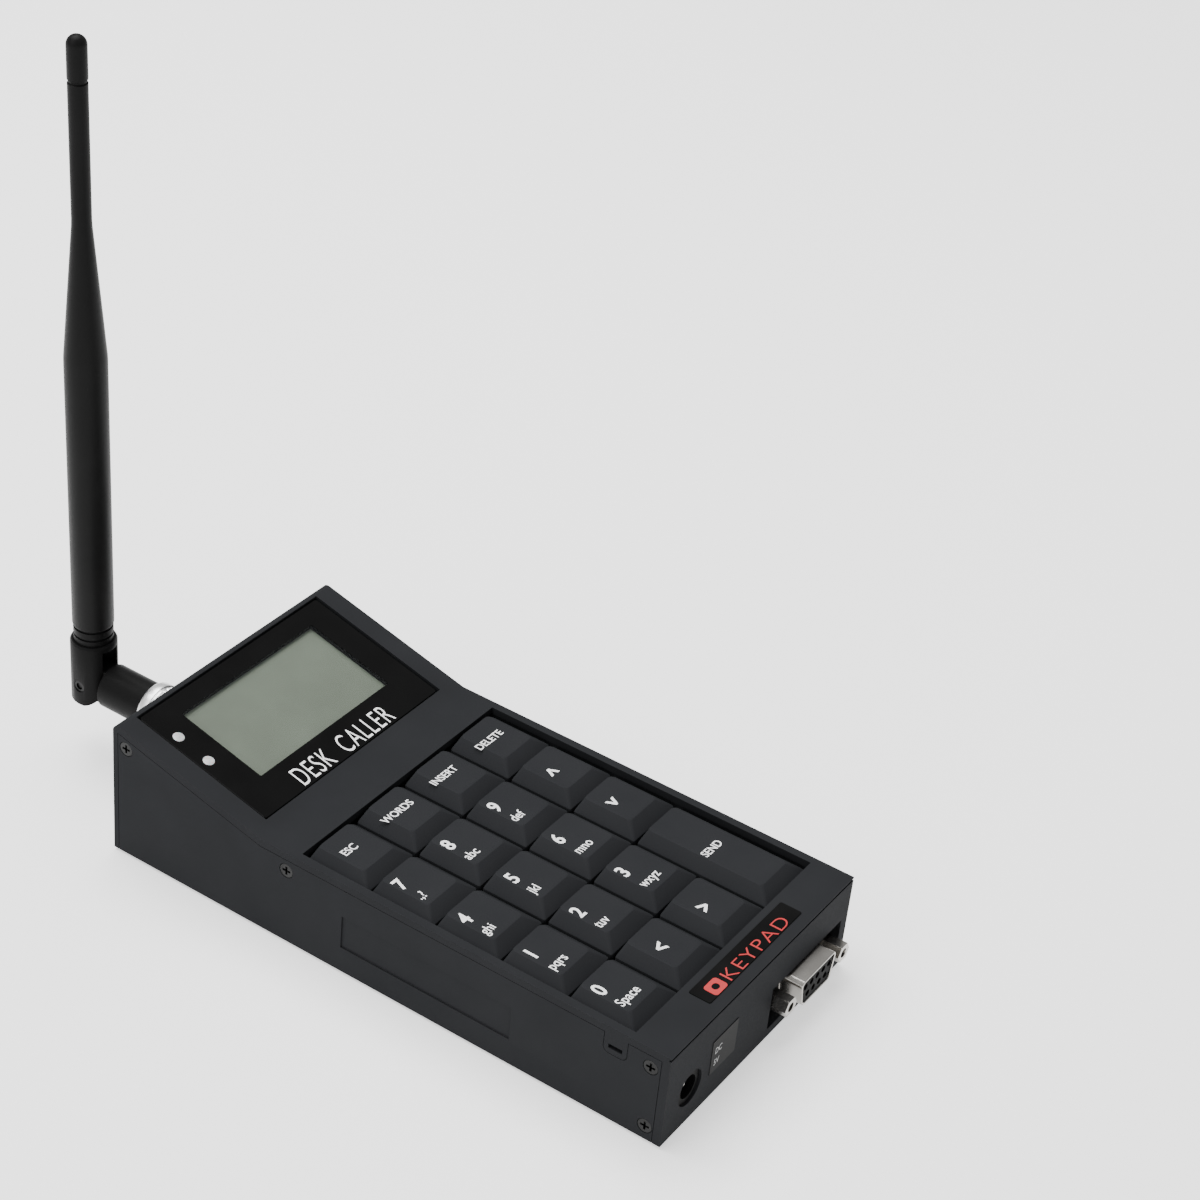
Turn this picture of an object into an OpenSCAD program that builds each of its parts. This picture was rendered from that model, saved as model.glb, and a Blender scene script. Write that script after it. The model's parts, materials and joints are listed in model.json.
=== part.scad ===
// Desk keypad transmitter that calls pagers: a wedge-topped housing with 19 keys, a sloped
// display, a serial socket and a power jack at the front, and a folding whip antenna behind.
// +X is the user's right, +Y points to the antenna, +Z is up, and the feet stand on z = 0.

/* [Housing] */
// Width of the housing, side to side
body_w = 81.6; // [81.6:0.2:88]
// Length of the housing, front wall to rear wall
body_l = 165.1; // [165.1:0.1:175]
// Height of the key deck above the underside
front_h = 27.3; // [27.3:0.1:31]
// Distance from the front wall to the bend below the display
knee_from_front = 118; // [117.5:0.1:118]
// Slope of the display face in degrees
slope = 14.1; // [14:0.1:14.5]
// Thickness of the deck and of the display face
wall_top = 2; // [1.8:0.1:2.2]
// Thickness of the front wall
wall_front = 2.2; // [2:0.1:2.4]
// Thickness of the rear wall
wall_rear = 1.5; // [1.4:0.1:1.6]
// Thickness of the tray's two cheeks
cheek_t = 2; // [1.8:0.1:2]
// Thickness of the tray's floor
floor_t = 2; // [1.8:0.1:2]
// How far the rubber feet stand proud of the underside
foot_proud = 0.8; // [0.5:0.1:1.5]

/* [Keypad] */
// Spacing of the keys in both directions
pitch = 19.05; // [19:0.05:19.05]
// Gap between neighbouring key skirts
key_gap = 0.8; // [0.7:0.05:1]
// Distance from the front wall to the front of the key grid
grid_from_front = 11.4; // [11.2:0.1:11.6]
// How far the key tops stand above the deck at rest
key_rise = 0.5; // [0.2:0.1:0.8]
// Height of the bevel between a key's skirt and its top
key_bevel_h = 2.7; // [2.4:0.1:3]
// How far the bevels draw in on the left and right of a key
key_side_inset = 3.2; // [2.8:0.1:3.6]
// How far the bevel draws in at the front of a key
key_front_inset = 3.6; // [3:0.1:4]
// How far the bevel draws in at the rear of a key
key_rear_inset = 0.7; // [0.5:0.1:1]
// Travel of a key
key_travel = 3; // [2:0.1:3]

/* [Display] */
// Width of the display lens
lens_w = 69; // [67:0.5:69]
// Length of the display lens along the slope
lens_l = 42; // [41:0.5:42]
// Width of the visible liquid crystal window
window_w = 50.8; // [48:0.1:51]
// Length of the visible liquid crystal window along the slope
window_l = 26.4; // [25:0.1:26.5]
// Diameter of the two indicator lamps
led_d = 3; // [2:0.1:3]

/* [Sockets] */
// Diameter of the round hole for the power jack
jack_hole_d = 9.7; // [9.5:0.1:10.4]
// Diameter of the power jack's bore
jack_bore_d = 6.3; // [6:0.1:6.5]
// Distance between the serial socket's two jack posts
post_spacing = 25; // [25:0.1:25]
// How far the serial socket's shell stands out of the front wall
serial_out = 3.9; // [3.9:0.1:4.5]

/* [Antenna] */
// Length of the whip from its foot to its tip
whip_l = 167.5; // [120:0.5:200]
// Diameter of the thick part of the whip
whip_d = 10.75; // [10:0.05:11]
// Diameter of the thin part of the whip
whip_thin_d = 4.9; // [4:0.1:6]
// Distance from the rear wall to the antenna's fold pin
pivot_behind = 33; // [32:0.1:34]
// Angle that the swivelled whip leans to the left at rest, in degrees
whip_lean = 0.75; // [0:0.05:2]

/* [Hidden] */
$fn = 64;
eps = 0.01;
seam = 0.15;

// Levels, from the feet up
floor_z = foot_proud;
front_z = floor_z + front_h;
main_board_z = floor_z + 2.5;
key_board_z = floor_z + 7.3;
board_t = 1.6;
mat_t = 0.8;
dome_h = 4.5;
mat_z = key_board_z + board_t;
dome_top_z = mat_z + mat_t + dome_h;
frame_z = floor_z + 16.6;
frame_t = 2;

// Places along the object: the origin is under the middle of its overall length
yoke_r = 6.1;
overall_l = serial_out + body_l + pivot_behind + yoke_r;
front_y = serial_out - overall_l / 2;
rear_y = front_y + body_l;
knee_y = front_y + knee_from_front;
rear_z = front_z + (rear_y - knee_y) * tan(slope);
inside_front_y = front_y + wall_front;
inside_rear_y = rear_y - wall_rear;
deck_under_z = front_z - wall_top;
corner_r = 1.7;

// Key grid
cols = 4;
rows = 5;
grid_y = front_y + grid_from_front;
aperture_margin = 0.4;
cap_w = pitch - key_gap;
cap_top_z = front_z + key_rise;
bevel_z = cap_top_z - key_bevel_h;
skirt_h = 3;
skirt_z = bevel_z - skirt_h;
cap_wall = 1.3;
cap_top_t = 1.6;
stem_r = 3;
stem_fit = 0.06;
stem_end_z = dome_top_z + 0.05;
sleeve_r = 4.6;
sleeve_top_z = frame_z + frame_t + 3.4;
lug_h = 0.9;
lug_out = 0.7;

// Each key: node name, column, row from the front, rows that it covers
KEYS = [
    ["key_0", 0, 0, 1],
    ["key_left", 1, 0, 1],
    ["key_right", 2, 0, 1],
    ["key_send", 3, 0, 2],
    ["key_1", 0, 1, 1],
    ["key_2", 1, 1, 1],
    ["key_3", 2, 1, 1],
    ["key_4", 0, 2, 1],
    ["key_5", 1, 2, 1],
    ["key_6", 2, 2, 1],
    ["key_down", 3, 2, 1],
    ["key_7", 0, 3, 1],
    ["key_8", 1, 3, 1],
    ["key_9", 2, 3, 1],
    ["key_up", 3, 3, 1],
    ["key_esc", 0, 4, 1],
    ["key_words", 1, 4, 1],
    ["key_insert", 2, 4, 1],
    ["key_delete", 3, 4, 1],
];

// Display, in the slope's own frame: X across, Y up the slope from the bend, Z out of it
lens_s = 24.75;
lens_t = 1.4;
lens_sunk = 0.4;
lens_gap = 0.4;
pocket_depth = lens_sunk + lens_t;
pocket_floor_t = 1.2;
pad_depth = pocket_depth + pocket_floor_t;
window_x = 0.6;
window_s = 26.9;
led_x = -31.2;
led_s = [25.3, 35.3];
led_hole_clear = 0.1;
display_board_depth = 9;
display_board_w = 70;
display_board_l = 38.5;
display_post_x = 32.2;
display_post_s = [-16.8, 16.8];

// Sockets in the front wall
jack_x = -29.9;
jack_z = floor_z + 10.4;
jack_bore_end = 9.6;
jack_pin_r = 1;
jack_pin_root_r = 1.4;
jack_pin_start = 2.6;
serial_x = 21.25;
serial_z = floor_z + 9.8;
cutout_x = [5.6, 37.7];
cutout_z = [floor_z + 2.6, floor_z + 15.5];
flange_w = 30.8;
flange_h = 12.5;
flange_t = 0.8;
flange_sunk = wall_front + 0.15;
dshell_w = 16.4;
dshell_h = 8.2;
dshell_t = 0.5;
dshell_lean = 10;
contact_pitch = 2.76;
contact_row = 2.84;
contact_r = 0.5;
post_hex_r = 2.75;
post_l = 6.2;
post_hole_r = 1.25;

// Name plate on the deck and label on the front wall
plate_x = 0.5;
plate_w = 41;
plate_l = 6;
plate_from_front = 3;
plate_t = 0.25;
label_x = -16;
label_w = 11;
label_z = floor_z + 8;
label_h = 10.2;
label_t = 0.15;

// Groove across the front wall, just under the deck's edge
groove_depth = 0.5;
groove_high = 0.35;
groove_low = 1;

// Antenna, about the axis of its coaxial jack
jack_axis_x = -11.7;
jack_axis_z = floor_z + 21.2;
pivot_y = rear_y + pivot_behind;
barrel_r = 4.75;
barrel_bore_r = 4;
barrel_len = 11.5;
lug_y = rear_y + 8;
lug_r = 0.9;
lug_out_r = 1;
nut_r = 7.1;
nut_bore_r = 5;
nut_front_gap = 2.6;
nut_rear = 13.1;
plug_r = 3.94;
elbow_r = 5.95;
shoulder = 6.2;
tongue_t = 5.2;
tongue_r = 5.3;
yoke_slot = 5.4;
yoke_slot_top = 11.2;
yoke_top = 12.9;
yoke_chamfer = 0.7;
yoke_heel = 5.6;
yoke_toe_r = 5.8;
whip_seat = 1;
whip_foot_r = whip_d / 2 - 0.2;
whip_foot_z = yoke_top - whip_seat;
pin_r = 1.3;
pin_head_r = 1.6;
pin_head_sunk = 1.3;
tip_l = 11;

// Case screws: [distance from the front wall, height above the underside, boss length]
CASE_SCREWS = [[5, 21.8, 4], [4.6, 3.9, 2.3], [110, 21.9, 4], [160.9, 32.9, 4]];
case_head_r = 1.9;
case_head_h = 1.2;
case_shank_r = 1;
case_screw_l = 5;

// Small screws inside
small_head_r = 1.9;
small_head_h = 1.2;
small_shank_r = 1;
screw_clear = 0.05;
frame_post_x = 29;
frame_post_y = [front_y + 6.6, knee_y - 5];
key_post_x = [-pitch, 0, pitch];
key_post_row = [1, 4];
main_post_x = 31;
main_post_y = [front_y + 24, rear_y - 24];

// Marks in the left cheek
recess_from_front = 43;
recess_l = 49.8;
recess_low = 7.4;
recess_h = 9.8;
recess_depth = 0.4;
tab_from_front = 11.4;
tab_w = 6.3;
tab_low = 19.6;
tab_slot_l = 3.8;
tab_slot_h = 1.2;
tab_slot_up = 1.5;
tab_r = 1.5;

foot_r = 5;
foot_t = 1.6;
foot_in_x = 10;
foot_in_y = 12;

FIXED_NODES = [
    "top_shell", "base_tray", "case_screws", "rubber_feet",
    "display_lens", "lcd_panel", "lcd_frame", "indicator_leds", "display_board",
    "key_frame", "dome_mat", "key_board", "main_board", "controller_chip", "radio_module",
    "ribbon_cables", "board_screws", "name_plate", "power_label",
    "dc_jack", "dc_jack_pin",
    "serial_shell", "serial_insulator", "serial_contacts", "serial_posts",
    "antenna_jack", "antenna_jack_nut", "antenna_jack_insulator", "antenna_lead",
    "coupling_nut", "antenna_elbow", "antenna_plug_pin", "antenna_yoke", "fold_pin",
    "antenna_whip", "whip_tip",
];

plastic = "#26282b";
rubber = "#1a1b1c";
nickel = "#b9bcc0";
board_green = "#1d5b38";

function key_x(col) = (col - (cols - 1) / 2) * pitch;
function key_y(row, tall) = grid_y + (row + tall / 2) * pitch;

// A profile drawn as [along Y, up Z], as wide as the housing or as told
module across(width) {
    translate([-width / 2, 0, 0])
        rotate([90, 0, 90])
            linear_extrude(width)
                children();
}

// Puts its children in the display slope's own frame
module on_slope() {
    translate([0, knee_y, front_z])
        rotate([slope, 0, 0])
            children();
}

module block(x, y, z) {
    translate([x[0], y[0], z[0]])
        cube([x[1] - x[0], y[1] - y[0], z[1] - z[0]]);
}

// A box centred in X and Y, from z to z + h
module plate(w, l, z, h) {
    translate([-w / 2, -l / 2, z])
        cube([w, l, h]);
}

module along_y(r, y0, y1) {
    translate([0, y0, 0])
        rotate([-90, 0, 0])
            cylinder(r = r, h = y1 - y0);
}

module along_x(r, x0, x1) {
    translate([x0, 0, 0])
        rotate([0, 90, 0])
            cylinder(r = r, h = x1 - x0);
}

module at_antenna() {
    translate([jack_axis_x, 0, jack_axis_z])
        children();
}

// The antenna's plug and everything on it, swivelled by the lean
module at_swivel() {
    at_antenna()
        rotate([0, -whip_lean, 0])
            children();
}

// The same, with the origin on the fold pin
module at_fold() {
    at_swivel()
        translate([0, pivot_y, 0])
            children();
}

// The side view of the housing
module outer_profile() {
    corner_z = rear_z - corner_r * tan(slope) - corner_r / cos(slope);
    centre = [rear_y - corner_r, corner_z];
    difference() {
        polygon([
            [front_y, floor_z],
            [front_y, front_z],
            [knee_y, front_z],
            [rear_y, rear_z],
            [rear_y, floor_z],
        ]);
        difference() {
            polygon([
                centre,
                centre + [-sin(slope), cos(slope)] * corner_r,
                [rear_y, rear_z + eps],
                [rear_y + eps, rear_z + eps],
                [rear_y + eps, corner_z],
            ]);
            translate(centre)
                circle(r = corner_r);
        }
    }
}

// The side view of the space inside the shell's deck, front wall and rear wall
module inner_profile(gap, low) {
    slope_drop = wall_top / cos(slope);
    bend_y = knee_y + (slope_drop - wall_top) / tan(slope);
    rear_under_z = rear_z - slope_drop - (wall_rear + gap) * tan(slope);
    polygon([
        [inside_front_y + gap, low],
        [inside_front_y + gap, deck_under_z - gap],
        [bend_y, deck_under_z - gap],
        [inside_rear_y - gap, rear_under_z - gap],
        [inside_rear_y - gap, low],
    ]);
}

module screw(head_r, head_h, shank_r, length) {
    difference() {
        union() {
            cylinder(r = head_r, h = head_h);
            translate([0, 0, -length])
                cylinder(r = shank_r, h = length + eps);
        }
        for (turn = [0, 90])
            rotate([0, 0, turn])
                plate(0.6, 2.4, head_h - 0.7, 1);
    }
}

// Places its children at each case screw, with +Z out of the cheek
module at_case_screws() {
    for (side = [-1, 1])
        for (s = CASE_SCREWS)
            translate([side * body_w / 2, front_y + s[0], floor_z + s[1]])
                rotate([0, side * 90, 0])
                    children();
}

// Bosses on the shell that the case screws bite into, each with a rib up to the deck or wall
module case_screw_bosses() {
    inner_x = body_w / 2 - cheek_t;
    half = 2.3;
    for (side = [-1, 1])
        for (s = CASE_SCREWS) {
            y = front_y + s[0];
            z = floor_z + s[1];
            low = s[1] < 10;
            near_wall = s[0] < 10 ? [inside_front_y - eps, y + half] : [y - half, y + half];
            top = low ? z + half : z + 4.2;
            x = side > 0 ? [inner_x - s[2], inner_x - seam] : [seam - inner_x, s[2] - inner_x];
            intersection() {
                block(x, near_wall, [low ? z - 1.6 : z - half, top]);
                across(body_w)
                    outer_profile();
            }
        }
}

module lens_pocket() {
    on_slope()
        translate([0, lens_s, 0]) {
            plate(lens_w + 2 * lens_gap, lens_l + 2 * lens_gap, -pocket_depth, pocket_depth + 1);
            translate([window_x, window_s - lens_s, 0])
                plate(window_w + 1.4, window_l + 1.4, -pad_depth - 1, pad_depth + 1);
        }
    on_slope()
        for (s = led_s)
            translate([led_x, s, -pad_depth - 1])
                cylinder(r = led_d / 2 + 2 * led_hole_clear, h = pad_depth + 1);
}

// The locking tab that drops from the deck's left edge into the cheek's notch
module lock_tab() {
    y = front_y + tab_from_front;
    z = floor_z + tab_low;
    difference() {
        translate([-body_w / 2, 0, 0])
            rotate([90, 0, 90])
                linear_extrude(cheek_t)
                    union() {
                        translate([y, z + tab_r])
                            square([tab_w, front_z - wall_top + eps - z - tab_r]);
                        translate([y + tab_r, z])
                            square([tab_w - 2 * tab_r, tab_r + eps]);
                        for (side = [tab_r, tab_w - tab_r])
                            translate([y + side, z + tab_r])
                                circle(r = tab_r);
                    }
        block(
            [-body_w / 2 - 1, -body_w / 2 + cheek_t + 1],
            [y + (tab_w - tab_slot_l) / 2, y + (tab_w + tab_slot_l) / 2],
            [z + tab_slot_up, z + tab_slot_up + tab_slot_h]
        );
    }
}

module top_shell() {
    color(plastic)
    difference() {
        union() {
            difference() {
                across(body_w)
                    outer_profile();
                across(body_w + 2)
                    inner_profile(0, floor_z - 1);
            }
            // Pad that holds the lens pocket's floor
            on_slope()
                translate([0, lens_s, 0])
                    plate(lens_w + 5, lens_l + 3, -pad_depth, pad_depth - wall_top + 0.2);
            on_slope()
                for (x = [-1, 1], s = display_post_s)
                    translate([x * display_post_x, lens_s + s, -display_board_depth])
                        cylinder(r = 2.3, h = display_board_depth - wall_top);
            for (x = [-1, 1], y = frame_post_y)
                translate([x * frame_post_x, y, frame_z + frame_t])
                    cylinder(r = 2.6, h = deck_under_z + eps - frame_z - frame_t);
            case_screw_bosses();
            lock_tab();
        }
        // Key aperture
        block(
            [-cols * pitch / 2 - aperture_margin, cols * pitch / 2 + aperture_margin],
            [grid_y - aperture_margin, grid_y + rows * pitch + aperture_margin],
            [deck_under_z - 1, front_z + 1]
        );
        lens_pocket();
        // Bores for the screws
        at_case_screws()
            translate([0, 0, -case_head_h - case_screw_l - 1])
                cylinder(r = case_shank_r + screw_clear, h = case_screw_l + 4);
        on_slope()
            for (x = [-1, 1], s = display_post_s)
                translate([x * display_post_x, lens_s + s, -display_board_depth - 1])
                    cylinder(r = small_shank_r + screw_clear, h = 6);
        for (x = [-1, 1], y = frame_post_y)
            translate([x * frame_post_x, y, frame_z + frame_t - 1])
                cylinder(r = small_shank_r + screw_clear, h = 6);
        // Front wall: power jack hole, serial cut-out and the groove under the deck's edge
        translate([jack_x, 0, jack_z])
            along_y(jack_hole_d / 2, front_y - 1, inside_front_y + 1);
        block(cutout_x, [front_y - 1, inside_front_y + 1], cutout_z);
        block(
            [-body_w, body_w],
            [front_y - 1, front_y + groove_depth],
            [front_z - groove_low, front_z - groove_high]
        );
        // Rear wall: hole for the antenna jack
        at_antenna()
            along_y(barrel_r + 0.1, inside_rear_y - 1, rear_y + 1);
    }
}

module base_tray() {
    inner_x = body_w / 2 - cheek_t;
    tab_y = front_y + tab_from_front;
    color(plastic)
    difference() {
        union() {
            block(
                [-body_w / 2, body_w / 2],
                [inside_front_y + seam, inside_rear_y - seam],
                [floor_z, floor_z + floor_t]
            );
            for (side = [-1, 1])
                translate([side * (body_w - cheek_t) / 2, 0, 0])
                    across(cheek_t)
                        inner_profile(seam, floor_z);
            for (x = [-1, 1], y = main_post_y)
                translate([x * main_post_x, y, floor_z])
                    cylinder(r = 3, h = main_board_z - floor_z);
        }
        // Notch for the shell's locking tab
        block(
            [-body_w / 2 - 1, seam - inner_x],
            [tab_y - seam, tab_y + tab_w + seam],
            [floor_z + tab_low + tab_r, front_z]
        );
        block(
            [-body_w / 2 - 1, seam - inner_x],
            [tab_y + tab_r, tab_y + tab_w - tab_r],
            [floor_z + tab_low - seam, front_z]
        );
        for (y = [tab_y + tab_r, tab_y + tab_w - tab_r])
            translate([0, y, floor_z + tab_low + tab_r])
                along_x(tab_r + seam, -body_w / 2 - 1, seam - inner_x);
        // Shallow blank recess in the left cheek
        block(
            [-body_w / 2 - 1, -body_w / 2 + recess_depth],
            [front_y + recess_from_front, front_y + recess_from_front + recess_l],
            [floor_z + recess_low, floor_z + recess_low + recess_h]
        );
        // Counterbores and clearance holes for the case screws
        at_case_screws() {
            translate([0, 0, -case_head_h])
                cylinder(r = case_head_r + 0.15, h = case_head_h + 1);
            translate([0, 0, -cheek_t - 1])
                cylinder(r = case_shank_r + 0.15, h = cheek_t + 2);
        }
        // Blind holes for the main board's screws
        for (x = [-1, 1], y = main_post_y)
            translate([x * main_post_x, y, floor_z + 0.5])
                cylinder(r = small_shank_r + screw_clear, h = main_board_z);
        at_feet()
            translate([0, 0, -1])
                cylinder(r = foot_r + 0.1, h = 1 + foot_t - foot_proud);
    }
}

module case_screws() {
    color("#2b2d30")
    at_case_screws()
        translate([0, 0, -case_head_h])
            screw(case_head_r, case_head_h - 0.1, case_shank_r, case_screw_l - 1);
}

module at_feet() {
    for (x = [-1, 1])
        for (y = [front_y + foot_in_y, rear_y - foot_in_y])
            translate([x * (body_w / 2 - foot_in_x), y, floor_z])
                children();
}

module rubber_feet() {
    color(rubber)
    at_feet()
        translate([0, 0, -foot_proud])
            cylinder(r = foot_r, h = foot_t);
}

module display_lens() {
    color("#101214")
    on_slope()
        difference() {
            translate([0, lens_s, 0])
                plate(lens_w, lens_l, -pocket_depth, lens_t);
            for (s = led_s)
                translate([led_x, s, -pocket_depth - 1])
                    cylinder(r = led_d / 2 + led_hole_clear, h = pocket_depth + 2);
        }
}

module lcd_panel() {
    color("#a9b0a2")
    on_slope()
        translate([window_x, window_s, 0]) {
            plate(window_w + 0.8, window_l + 0.8, -pad_depth - 0.2, pad_depth - pocket_depth + 0.1);
            plate(window_w + 5, window_l + 5, -pad_depth - 1.6, 1.5);
        }
}

module lcd_frame() {
    color(nickel)
    on_slope()
        translate([window_x, window_s, 0])
            difference() {
                plate(
                    window_w + 6.2,
                    window_l + 6.2,
                    -display_board_depth,
                    display_board_depth - pad_depth - 0.1
                );
                plate(window_w + 5.2, window_l + 5.2, -display_board_depth + 1, display_board_depth);
            }
}

module indicator_leds() {
    head_top = -lens_sunk + 0.2;
    r = led_d / 2;
    color("#d9dcdb")
    on_slope()
        for (s = led_s)
            translate([led_x, s, 0]) {
                translate([0, 0, -6])
                    cylinder(r = r, h = 6 + head_top - r / 2);
                intersection() {
                    translate([0, 0, head_top - r * 1.25])
                        sphere(r = r * 1.25);
                    translate([0, 0, head_top - r])
                        cylinder(r = r, h = r + 1);
                }
                translate([0, 0, -6.8])
                    cylinder(r = r + 0.3, h = 0.9);
                for (x = [-1.27, 1.27])
                    translate([x, 0, -display_board_depth])
                        cylinder(r = 0.25, h = 3);
            }
}

module display_board() {
    color(board_green)
    on_slope()
        translate([0, lens_s, 0])
            difference() {
                plate(display_board_w, display_board_l, -display_board_depth - board_t, board_t);
                for (x = [-1, 1], s = display_post_s)
                    translate([x * display_post_x, s, -display_board_depth - board_t - 1])
                        cylinder(r = small_shank_r + 0.15, h = board_t + 2);
            }
}

// Guide plate: a sleeve round each key's stem, posts below for the key board
module key_frame() {
    edge_x = body_w / 2 - cheek_t - 0.6;
    y0 = front_y + wall_front + 0.9;
    color("#3a3d40")
    difference() {
        union() {
            block([-edge_x, edge_x], [y0, knee_y - 1], [frame_z, frame_z + frame_t]);
            for (k = KEYS)
                translate([key_x(k[1]), key_y(k[2], k[3]), frame_z])
                    cylinder(r = sleeve_r, h = sleeve_top_z - frame_z);
            at_key_posts()
                translate([0, 0, mat_z])
                    cylinder(r = 2.2, h = frame_z - mat_z + eps);
        }
        for (k = KEYS)
            translate([key_x(k[1]), key_y(k[2], k[3]), frame_z - 1])
                cylinder(r = stem_r + stem_fit, h = sleeve_top_z - frame_z + 2);
        at_key_posts()
            translate([0, 0, mat_z - 1])
                cylinder(r = small_shank_r + screw_clear, h = 6);
        for (x = [-1, 1], y = frame_post_y)
            translate([x * frame_post_x, y, frame_z - 1])
                cylinder(r = small_shank_r + 0.15, h = frame_t + 2);
    }
}

module at_key_posts() {
    for (x = key_post_x)
        for (row = key_post_row)
            translate([x, grid_y + row * pitch, 0])
                children();
}

// Silicone mat: a thin sheet with one hollow dome under each key
module dome_mat() {
    foot = 5.5;
    crown = 3.2;
    skin = 0.6;
    color("#c8cac6")
    difference() {
        union() {
            block([-36.5, 36.5], [front_y + 14.5, grid_y + rows * pitch - 1], [mat_z, mat_z + mat_t]);
            for (k = KEYS)
                translate([key_x(k[1]), key_y(k[2], k[3]), mat_z])
                    rotate_extrude()
                        polygon([
                            [0, 0],
                            [foot, 0],
                            [foot, mat_t],
                            [crown, dome_top_z - mat_z],
                            [0, dome_top_z - mat_z],
                        ]);
        }
        for (k = KEYS)
            translate([key_x(k[1]), key_y(k[2], k[3]), mat_z])
                rotate_extrude()
                    polygon([
                        [0, -1],
                        [foot - skin, -1],
                        [foot - skin, mat_t - 0.2],
                        [crown - skin, dome_top_z - mat_z - 1.4],
                        [0, dome_top_z - mat_z - 1.4],
                    ]);
        at_key_posts()
            translate([0, 0, mat_z - 1])
                cylinder(r = 2.5, h = mat_t + 2);
    }
}

module key_board() {
    color(board_green)
    difference() {
        block(
            [-37, 37],
            [front_y + 14, grid_y + rows * pitch],
            [key_board_z, key_board_z + board_t - 0.02]
        );
        at_key_posts()
            translate([0, 0, key_board_z - 1])
                cylinder(r = small_shank_r + 0.15, h = board_t + 2);
    }
}

module main_board() {
    color(board_green)
    difference() {
        block(
            [-35.3, 35.3],
            [front_y + 3.5, rear_y - 8],
            [main_board_z + 0.02, main_board_z + board_t]
        );
        for (x = [-1, 1], y = main_post_y)
            translate([x * main_post_x, y, main_board_z - 1])
                cylinder(r = small_shank_r + 0.15, h = board_t + 2);
    }
}

module controller_chip() {
    color("#202224")
    block(
        [-7, 7],
        [knee_y - 60, knee_y - 46],
        [main_board_z + board_t + 0.02, main_board_z + board_t + 1.6]
    );
}

module radio_module() {
    color(nickel)
    block(
        [jack_axis_x - 9, jack_axis_x + 9],
        [rear_y - 32, rear_y - 12],
        [main_board_z + board_t + 0.02, main_board_z + board_t + 3.5]
    );
}

// Flat ribbons from the main board up to the display board and the key board
module ribbon_cables() {
    low = main_board_z + board_t + 0.02;
    s = 10;
    under_z = front_z + s * tan(slope) - (display_board_depth + board_t) / cos(slope);
    color("#8e9194")
    union() {
        block([8, 28], [knee_y + s - 0.4, knee_y + s + 0.4], [low, under_z - 0.4]);
        block([8, 28], [knee_y - 20.4, knee_y - 19.6], [low, key_board_z - 0.02]);
    }
}

// The small screws: display board, key frame, key board and main board
module board_screws() {
    head_z = small_head_h;
    color(nickel) {
        on_slope()
            for (x = [-1, 1], s = display_post_s)
                translate([x * display_post_x, lens_s + s, -display_board_depth - board_t])
                    rotate([180, 0, 0])
                        screw(small_head_r, head_z, small_shank_r, 5);
        for (x = [-1, 1], y = frame_post_y)
            translate([x * frame_post_x, y, frame_z])
                rotate([180, 0, 0])
                    screw(small_head_r, head_z, small_shank_r, 5);
        at_key_posts()
            translate([0, 0, key_board_z])
                rotate([180, 0, 0])
                    screw(small_head_r, head_z, small_shank_r, 5);
        for (x = [-1, 1], y = main_post_y)
            translate([x * main_post_x, y, main_board_z + board_t])
                screw(small_head_r, head_z, small_shank_r, 3);
    }
}

// Thin adhesive plate on the deck in front of the keys
module name_plate() {
    color("#0d0e10")
    block(
        [plate_x - plate_w / 2, plate_x + plate_w / 2],
        [front_y + plate_from_front, front_y + plate_from_front + plate_l],
        [front_z + 0.01, front_z + plate_t]
    );
}

// Adhesive label on the front wall beside the power jack
module power_label() {
    color("#1c1d1f")
    block(
        [label_x - label_w / 2, label_x + label_w / 2],
        [front_y - label_t, front_y - 0.01],
        [label_z, label_z + label_h]
    );
}

module dc_jack() {
    body = 9;
    under = main_board_z + board_t + 0.02 - jack_z;
    color("#151617")
    translate([jack_x, 0, jack_z])
        difference() {
            union() {
                along_y(jack_hole_d / 2 - 0.2, front_y + 0.6, inside_front_y + 1);
                block([-body / 2, body / 2], [inside_front_y + 0.1, front_y + 13.6], [under, 4.5]);
            }
            along_y(jack_bore_d / 2, front_y - 1, front_y + jack_bore_end);
            along_y(jack_pin_root_r, front_y, front_y + 12.5);
        }
}

module dc_jack_pin() {
    color(nickel)
    translate([jack_x, 0, jack_z]) {
        along_y(jack_pin_r, front_y + jack_pin_start, front_y + jack_bore_end + eps);
        along_y(jack_pin_root_r, front_y + jack_bore_end, front_y + 12.45);
        translate([0, front_y + jack_pin_start, 0])
            sphere(r = jack_pin_r);
    }
}

// The outline of a nine-way D: wide side up, ends leaning in
module d_outline(shrink) {
    half_w = dshell_w / 2 - shrink;
    half_h = dshell_h / 2 - shrink;
    lean = half_h * tan(dshell_lean);
    r = 1.6 - shrink * 0.6;
    intersection() {
        polygon([
            [-half_w, half_h],
            [half_w, half_h],
            [half_w - 2 * lean, -half_h],
            [2 * lean - half_w, -half_h],
        ]);
        union() {
            square([2 * (half_w - r), 2 * half_h], center = true);
            for (side = [-1, 1]) {
                translate([side * (half_w - r), half_h - r])
                    circle(r = r);
                translate([side * (half_w - r - lean), 0])
                    square([2 * r + lean, 2 * (half_h - r)], center = true);
                translate([side * (half_w - r - 2 * lean), r - half_h])
                    circle(r = r);
            }
        }
    }
}

module serial_extrude(shrink, y0, y1) {
    translate([serial_x, y1, serial_z])
        rotate([90, 0, 0])
            linear_extrude(y1 - y0)
                d_outline(shrink);
}

module at_serial_posts() {
    for (side = [-1, 1])
        translate([serial_x + side * post_spacing / 2, 0, serial_z])
            children();
}

module at_serial_contacts() {
    for (i = [0:4])
        translate([serial_x + (i - 2) * contact_pitch, 0, serial_z + contact_row / 2])
            children();
    for (i = [0:3])
        translate([serial_x + (i - 1.5) * contact_pitch, 0, serial_z - contact_row / 2])
            children();
}

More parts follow.
